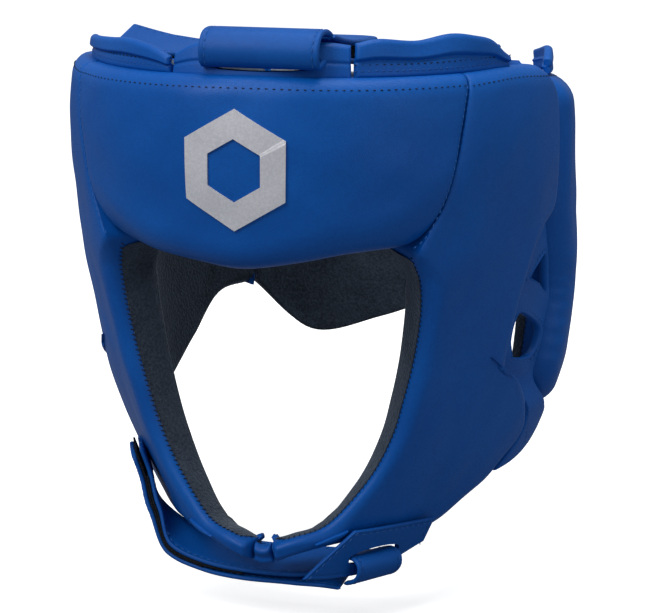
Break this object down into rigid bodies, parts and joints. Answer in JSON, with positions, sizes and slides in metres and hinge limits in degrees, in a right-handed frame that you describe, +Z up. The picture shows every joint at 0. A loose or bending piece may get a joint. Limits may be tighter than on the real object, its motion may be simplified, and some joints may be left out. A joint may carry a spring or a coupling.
{
  "type": "boxing headgear",
  "caption": "Padded leather head guard with an open face, ear openings, splaying rear wings, and hook-and-loop straps at crown, back and chin.",
  "frame": {"origin": "centre of the head cavity at the forehead pad's mid-height, where the wearer's head sits", "axes": "+Z up the head, -Y the way the face looks, +X to the wearer's left; -Z is the way the head leaves"},
  "size_m": [0.2137, 0.2658, 0.2368],
  "materials": {
    "leather_blue": "smooth semi-matte coated leather",
    "foam_grey": "closed-cell foam, listed as fabric for its low density",
    "suede_navy": "napped suede-like lining",
    "pile_black": "hook or loop pile",
    "webbing_blue": "coated strap",
    "emblem_white": "flat printed film"
  },
  "bodies": {
    "shell": {"forehead_cover": "leather_blue", "forehead_foam": "foam_grey", "forehead_lining": "suede_navy", "forehead_emblem": "emblem_white", "side_cover_left": "leather_blue", "side_foam_left": "foam_grey", "side_lining_left": "suede_navy", "ear_panel_left": "leather_blue", "side_cover_right": "leather_blue", "side_foam_right": "foam_grey", "side_lining_right": "suede_navy", "ear_panel_right": "leather_blue", "crown_yoke_left": "leather_blue", "crown_yoke_right": "leather_blue", "crown_yoke_front": "leather_blue", "crown_strap": "leather_blue", "crown_strap_loop": "pile_black", "crown_band": "leather_blue", "chin_tie": "leather_blue", "chin_keeper": "leather_blue", "chin_strap": "webbing_blue", "chin_loop_patch": "pile_black"},
    "wing_left": {"rear_cover_left": "leather_blue", "rear_foam_left": "foam_grey", "rear_lining_left": "suede_navy", "rear_yoke_left": "leather_blue", "rear_strap_anchor": "leather_blue"},
    "wing_right": {"rear_cover_right": "leather_blue", "rear_foam_right": "foam_grey", "rear_lining_right": "suede_navy", "rear_yoke_right": "leather_blue", "rear_loop_patch": "pile_black"},
    "tongue": {"tongue_cover": "leather_blue", "tongue_foam": "foam_grey", "tongue_lining": "suede_navy"},
    "rear_closure": {"rear_strap": "webbing_blue", "rear_strap_hook": "pile_black"},
    "crown_closure": {"crown_tail": "leather_blue", "crown_tail_hook": "pile_black"},
    "chin_closure": {"chin_tail": "webbing_blue", "chin_tail_hook": "pile_black"}
  },
  "joints": [
    {"name": "wing_left_splay", "type": "hinge", "parent": "shell", "child": "wing_left", "pos_m": [0.1075, -0.0065, -0.035], "axis": [0, 0, -1], "range_deg": [0, 15]},
    {"name": "wing_right_splay", "type": "hinge", "parent": "shell", "child": "wing_right", "pos_m": [-0.1075, -0.0065, -0.035], "axis": [0, 0, 1], "range_deg": [0, 15]},
    {"name": "tongue_flex", "type": "hinge", "parent": "wing_right", "child": "tongue", "pos_m": [-0.049, 0.0755, -0.035], "axis": [0, 0, -1], "range_deg": [0, 15]},
    {"name": "rear_strap_peel", "type": "hinge", "parent": "wing_left", "child": "rear_closure", "pos_m": [0.0765, 0.0969, -0.045], "axis": [0, 0, -1], "range_deg": [0, 95]},
    {"name": "crown_tail_peel", "type": "hinge", "parent": "shell", "child": "crown_closure", "pos_m": [0.0075, -0.098, 0.0531], "axis": [1, 0, 0], "range_deg": [0, 100]},
    {"name": "chin_tail_peel", "type": "hinge", "parent": "shell", "child": "chin_closure", "pos_m": [0.03, -0.0703, -0.1766], "axis": [0, -1, 0], "range_deg": [0, 85]}
  ],
  "couplings": [
    {"joint": "wing_left_splay", "follows": "rear_strap_peel", "ratio": 0.15789},
    {"joint": "wing_right_splay", "follows": "rear_strap_peel", "ratio": 0.15789},
    {"joint": "tongue_flex", "follows": "rear_strap_peel", "ratio": 0.15789}
  ]
}
